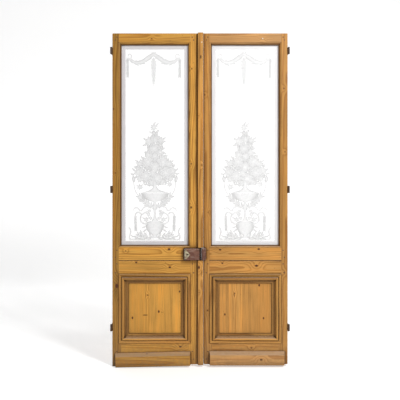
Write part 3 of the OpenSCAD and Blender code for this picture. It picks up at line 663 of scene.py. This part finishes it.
bouquet()
urn_and_stand()
swags()
bpy.ops.object.select_all(action="DESELECT")
for part in bitten:
    part.select_set(True)
bpy.context.view_layer.objects.active = bitten[0]
bpy.ops.object.join()
left_etching = bpy.context.object
left_etching.name = "left_etching"
for form in (leaf_form, rose_form):
    bpy.data.objects.remove(form)


def etched_skin(name):
    f = Finish(name)
    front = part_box("left_glass")[0].y
    raised = (front - f.y) * (1 / RELIEF)
    mottle = f.noise(f.point, 110.0, 2.0)
    fine = f.noise(f.point, 330.0, 2.0)
    tone = f.rise(raised, 0.15, 1.0) * 0.24 + mottle * 0.20 + fine * 0.42 + 0.35
    colour = f.brighten((0.90, 0.90, 0.90), tone)
    return f.close(colour, mottle * 0.2 + 0.6, mottle, 0.0002, 0.3)


left_etching.data.materials.clear()
left_etching.data.materials.append(etched_skin("etched_skin"))
middles = {side: sum(corner.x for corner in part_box(f"{side}_glass")) / 2 for side in ("left", "right")}
sight_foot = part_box("left_upper_mid_rail")[1].z
clear_of_glass = 0.05 * MM
left_etching.data.transform(Matrix.Translation((middles["left"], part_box("left_glass")[0].y - clear_of_glass,
                                                sight_foot)))
right_etching = left_etching.copy()
right_etching.data = left_etching.data.copy()
right_etching.name = "right_etching"
bpy.context.collection.objects.link(right_etching)
right_etching.data.transform(Matrix.Translation((middles["right"] - middles["left"], 0, 0)))
for etching, side in ((left_etching, "left"), (right_etching, "right")):
    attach(etching, f"{side}_leaf")


# ---------------------------------------------------------------------------------------------
# Glazing beads: four lengths of quarter-round pine a leaf, pinned behind the glass to hold it in.
# They are seen only from the back.
# ---------------------------------------------------------------------------------------------
for side in ("left", "right"):
    for seed, which in enumerate(("top", "bottom", "inner", "outer")):
        along = "x" if which in ("top", "bottom") else "z"
        name = f"{side}_glazing_bead_{which}"
        wear(name, pine(name, along, WOOD[side], 140 + seed + 9 * (side == "right"), tone=0.9))


# ---------------------------------------------------------------------------------------------
# Hinges and screws: three iron hinges a leaf, each of two halves round a pin, let in and
# screwed. The iron has gone dark brown under wax and dust.
# ---------------------------------------------------------------------------------------------
def iron(name, dull, rusty, rough=0.35, metallic=0.45):
    f = Finish(name)
    mottle = f.noise(f.point, 160.0, 4.0, 0.65)
    fine = f.noise(f.point, 900.0, 2.0, 0.6)
    edge, rounded = f.arris(0.0012)
    colour = f.blend(f.rise(mottle, 0.40, 0.66), dull, rusty)
    colour = f.blend(edge * 0.45, colour, (0.22, 0.17, 0.13))
    # Grime and painted shade darken the crevices
    colour = f.blend(f.rise(f.crevice(0.004), 0.3, 0.8) * 0.7, colour, (0.02, 0.012, 0.008))
    return f.close(colour, fine * 0.25 + mottle * 0.15 + rough, mottle * 0.6 + fine * 0.4, 0.0005, 0.6,
                   rounded, metallic=metallic)


dark_iron = iron("hinge_iron", (0.050, 0.034, 0.024), (0.120, 0.060, 0.034))
for side in ("left", "right"):
    for place in ("top", "middle", "bottom"):
        wear([f"{side}_hinge_{place}_leaf_half", f"{side}_hinge_{place}_frame_half"], dark_iron)
    wear(f"{side}_hinge_screws", dark_iron)
wear(["latch_screws", "keep_screws"], dark_iron)


# ---------------------------------------------------------------------------------------------
# Latch: a folded iron case screwed to the left leaf, brown with rust under worn grey paint, and
# inside it a steel bolt, the follower that a spindle would turn, and the bolt's coiled spring.
# ---------------------------------------------------------------------------------------------
def rusted_case(name):
    f = Finish(name)
    low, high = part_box(name)
    patch = f.noise(f.point, 38.0, 4.0, 0.6)
    mottle = f.noise(f.point, 190.0, 4.0, 0.65)
    drag = f.noise(f.vector(f.x * 14, f.y * 60, f.z * 95), 1.0, 3.0)
    edge, rounded = f.arris(0.0018)
    colour = f.blend(f.rise(patch, 0.36, 0.62), (0.115, 0.040, 0.024), (0.190, 0.082, 0.050))
    colour = f.blend(f.rise(mottle, 0.52, 0.72) * 0.65, colour, (0.055, 0.022, 0.015))
    colour = f.blend(f.rise(drag, 0.55, 0.70) * 0.40, colour, (0.33, 0.22, 0.17))
    lip = 1 - f.rise(high.z - f.z, 0.003, 0.012)
    colour = f.blend(lip * f.rise(mottle, 0.40, 0.60) * 0.55, colour, (0.40, 0.30, 0.23))
    colour = f.blend(edge * f.rise(mottle, 0.42, 0.60) * 0.75, colour, (0.42, 0.31, 0.25))
    # Grime and painted shade darken the crevices
    colour = f.blend(f.rise(f.crevice(0.006), 0.35, 0.9) * 0.7, colour, (0.015, 0.009, 0.007))
    # Painted shadow darkens the left end
    left_end_shade = 1 - f.rise(f.x - low.x, 0.002, 0.016)
    colour = f.blend(left_end_shade * f.rise(patch, 0.30, 0.50) * 0.85, colour, (0.020, 0.011, 0.009))
    return f.close(colour, mottle * 0.25 + 0.48, patch * 0.4 + mottle * 0.6, 0.0009, 0.7, rounded,
                   metallic=0.15)


wear("latch_case", rusted_case("latch_case"))


def plate_finish(name):
    f = Finish(name)
    mottle = f.noise(f.point, 120.0, 4.0, 0.65)
    edge, rounded = f.arris(0.0010)
    colour = f.blend(f.rise(mottle, 0.36, 0.60), (0.30, 0.245, 0.130), (0.52, 0.47, 0.33))
    colour = f.blend(f.rise(f.noise(f.point, 60.0, 3.0), 0.52, 0.60) * 0.8, colour, (0.17, 0.085, 0.055))
    # Edges paler: rubbed brass under a painted highlight
    colour = f.blend(edge * 0.5, colour, (0.66, 0.62, 0.48))
    return f.close(colour, mottle * 0.2 + 0.42, mottle, 0.0006, 0.6, rounded, metallic=0.25)


wear("spindle_plate", plate_finish("spindle_plate"))
bare_steel = iron("bare_steel", (0.020, 0.016, 0.013), (0.045, 0.022, 0.014), rough=0.50, metallic=0.1)
wear(["latch_bolt", "latch_follower", "latch_spring"], bare_steel)


# ---------------------------------------------------------------------------------------------
# Keep: a closed box of the same rusty iron with a mouth for the bolt, screwed to the face of
# the right leaf's meeting stile.
# ---------------------------------------------------------------------------------------------
wear("keep", rusted_case("keep"))


# ---------------------------------------------------------------------------------------------
# Studio: a pale sweep of floor and wall, a big soft light high on the right and a weak one on
# the left, and a level camera half way up the doors.
# ---------------------------------------------------------------------------------------------
def sweep():
    bpy.ops.object.select_all(action="DESELECT")
    bpy.ops.mesh.primitive_plane_add(size=1.0)
    floor = bpy.context.object
    floor.name = "studio_sweep"
    front, turn, reach, half = -7.0, 3.0, 1.2, 9.0
    wall_top = 9.0
    steps = 12
    bm = bmesh.new()
    line = [(front, 0.0)]
    line += [(turn + reach * math.sin(a), reach - reach * math.cos(a)) for a in
             (math.pi / 2 * i / steps for i in range(steps + 1))]
    line.append((turn + reach, wall_top))
    rows = [[bm.verts.new((x, y, z)) for x in (-half, half)] for y, z in line]
    for low, high in zip(rows, rows[1:]):
        bm.faces.new((low[0], low[1], high[1], high[0]))
    bm.to_mesh(floor.data)
    bm.free()
    floor.data.shade_smooth()
    f = Finish("pale_sweep")
    paper = f.noise(f.point, 3.0, 2.0)
    floor.data.materials.append(f.close(f.brighten((0.93, 0.93, 0.93), paper * 0.02 + 0.99), 0.9))
    f.shader.inputs["Emission Color"].default_value = (1, 1, 1, 1)
    f.shader.inputs["Emission Strength"].default_value = 0.42


def softbox(name, place, target, size, power):
    data = bpy.data.lights.new(name, "AREA")
    data.shape = "RECTANGLE"
    data.size, data.size_y = size
    data.energy = power
    lamp = bpy.data.objects.new(name, data)
    lamp.location = place
    lamp.rotation_euler = (Vector(target) - Vector(place)).to_track_quat("-Z", "Y").to_euler()
    bpy.context.collection.objects.link(lamp)


sweep()
softbox("key_light", (2.3, -3.0, 3.7), (0, 0, 1.05), (0.8, 0.8), 156)
softbox("fill_light", (-3.2, -3.6, 2.0), (0, 0, 1.0), (2.5, 2.5), 8)
world = bpy.data.worlds.new("studio")
world.use_nodes = True
dim = world.node_tree.nodes["Background"]
dim.inputs["Color"].default_value = (1, 1, 1, 1)
dim.inputs["Strength"].default_value = 0.25
# Beyond the floor the eye sees the same white, but it gives no more light than dim does
white = world.node_tree.nodes.new("ShaderNodeBackground")
seen = world.node_tree.nodes.new("ShaderNodeLightPath")
either = world.node_tree.nodes.new("ShaderNodeMixShader")
world.node_tree.links.new(seen.outputs["Is Camera Ray"], either.inputs["Fac"])
world.node_tree.links.new(dim.outputs["Background"], either.inputs[1])
world.node_tree.links.new(white.outputs["Background"], either.inputs[2])
world.node_tree.links.new(either.outputs["Shader"], world.node_tree.nodes["World Output"].inputs["Surface"])
white.inputs["Color"].default_value = (1, 1, 1, 1)
bpy.context.scene.world = world
bpy.context.scene.view_settings.view_transform = "Standard"

lens_data = bpy.data.cameras.new("camera")
sensor = 36.0
lens_data.sensor_width = sensor
stand_off = 3.4  # from the camera to the doors' front
field = 2.648  # width of the view at the doors' front
lens_data.lens = sensor * stand_off / field
camera = bpy.data.objects.new("camera", lens_data)
camera.location = (0.0, -0.005 - stand_off, 1.101)
camera.rotation_euler = (math.pi / 2, 0.0, 0.0)
bpy.context.collection.objects.link(camera)
bpy.context.scene.camera = camera
